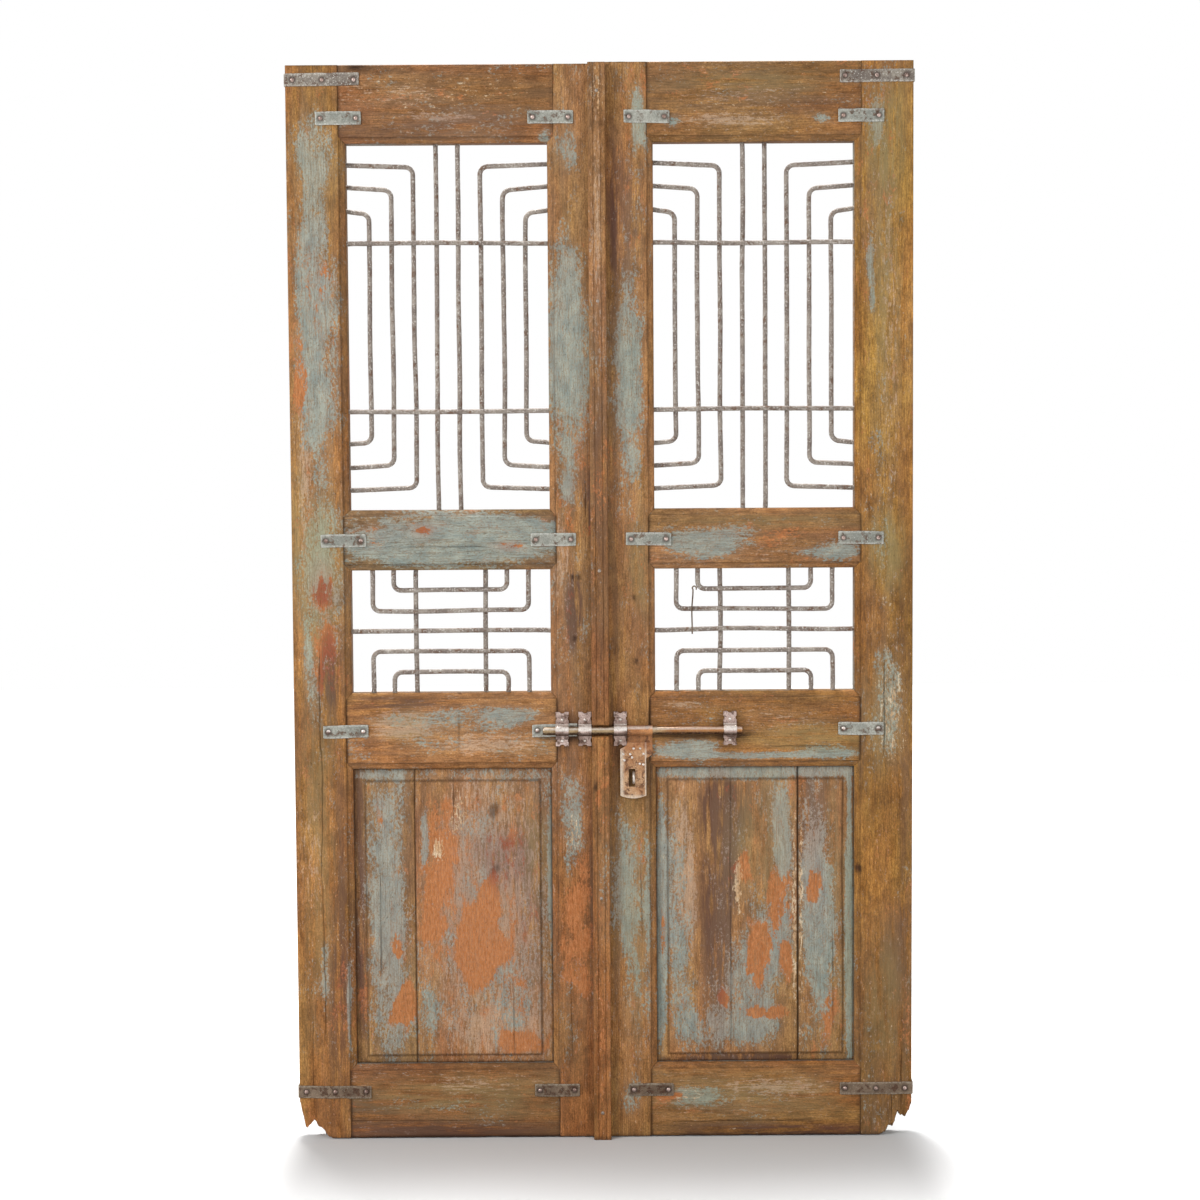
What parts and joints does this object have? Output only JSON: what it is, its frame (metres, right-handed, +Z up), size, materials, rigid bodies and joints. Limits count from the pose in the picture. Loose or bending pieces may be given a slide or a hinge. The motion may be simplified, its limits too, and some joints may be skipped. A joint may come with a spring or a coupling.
{
  "type": "pair of weathered wooden door leaves",
  "caption": "Upright pair of worn teak door leaves with iron rod grilles, fielded panels, nailed strap irons and a sliding hasp bolt across the meeting stiles.",
  "frame": {"origin": "foot of the meeting line between the two leaves, at the middle of the wood's thickness", "axes": "+Z up the leaves, +X to the right seen from the front, -Y out of the front, where the bolt is"},
  "size_m": [1.213, 0.0658, 2.098],
  "materials": {
    "weathered_teak": "bare weathered teak with worn blue-grey and orange paint",
    "painted_panel": "worn layers of blue-grey paint and orange primer over teak",
    "grille_iron": "rust brown with pale grey paint specks",
    "painted_strap_iron": "worn blue-grey paint over rusty iron",
    "rusted_strap_iron": "dark iron with pale specks",
    "keeper_iron": "worn pinkish grey iron",
    "bolt_iron": "worn olive brown iron, rusty toward the tail",
    "rusted_hasp_iron": "orange rust",
    "hasp_plate_iron": "worn grey iron with brown rust",
    "nail_iron": "dull iron heads"
  },
  "bodies": {
    "leaves": {"left_outer_stile": "weathered_teak", "left_meeting_stile": "weathered_teak", "left_top_rail": "weathered_teak", "left_middle_rail": "weathered_teak", "left_lock_rail": "weathered_teak", "left_bottom_rail": "weathered_teak", "left_panel_wide_board": "painted_panel", "left_panel_narrow_board": "painted_panel", "right_outer_stile": "weathered_teak", "right_meeting_stile": "weathered_teak", "right_top_rail": "weathered_teak", "right_middle_rail": "weathered_teak", "right_lock_rail": "weathered_teak", "right_bottom_rail": "weathered_teak", "right_panel_wide_board": "painted_panel", "right_panel_narrow_board": "painted_panel", "cover_strip": "weathered_teak", "left_upper_cross_rods": "grille_iron", "left_upper_bent_rods": "grille_iron", "left_upper_straight_rods": "grille_iron", "left_lower_uprights": "grille_iron", "left_lower_cross_rod": "grille_iron", "left_lower_bent_rods": "grille_iron", "right_upper_cross_rods": "grille_iron", "right_upper_bent_rods": "grille_iron", "right_upper_straight_rods": "grille_iron", "right_lower_uprights": "grille_iron", "right_lower_cross_rod": "grille_iron", "right_lower_bent_rods": "grille_iron", "wire_remnant": "grille_iron", "left_top_corner_strap": "rusted_strap_iron", "left_bottom_corner_strap": "rusted_strap_iron", "left_top_outer_strap": "painted_strap_iron", "left_middle_outer_strap": "painted_strap_iron", "left_lock_outer_strap": "painted_strap_iron", "left_top_inner_strap": "painted_strap_iron", "left_middle_inner_strap": "painted_strap_iron", "left_lock_inner_strap": "painted_strap_iron", "left_bottom_inner_strap": "painted_strap_iron", "right_top_corner_strap": "rusted_strap_iron", "right_bottom_corner_strap": "rusted_strap_iron", "right_top_outer_strap": "painted_strap_iron", "right_middle_outer_strap": "painted_strap_iron", "right_lock_outer_strap": "painted_strap_iron", "right_top_inner_strap": "painted_strap_iron", "right_middle_inner_strap": "painted_strap_iron", "right_bottom_inner_strap": "painted_strap_iron", "left_strap_nails": "nail_iron", "right_strap_nails": "nail_iron", "cover_nails": "nail_iron", "keeper_nails": "nail_iron", "end_keeper": "keeper_iron", "left_keeper": "keeper_iron", "middle_keeper": "keeper_iron", "tail_keeper": "keeper_iron", "padlock_staple": "keeper_iron"},
    "bolt": {"bolt_rod": "bolt_iron"},
    "hasp": {"hasp_strap": "rusted_hasp_iron", "hasp_plate": "hasp_plate_iron", "hasp_rivets": "nail_iron"}
  },
  "joints": [
    {"name": "bolt_slide", "type": "slide", "parent": "leaves", "child": "bolt", "axis": [1, 0, 0], "range_m": [0, 0.131]},
    {"name": "hasp_swing", "type": "hinge", "parent": "bolt", "child": "hasp", "pos_m": [0.071, -0.0325, 0.8085], "axis": [-1, 0, 0], "range_deg": [0, 170]}
  ],
  "couplings": [
    {"joint": "hasp_swing", "follows": "bolt_slide", "rad_per_m": 22.64}
  ]
}
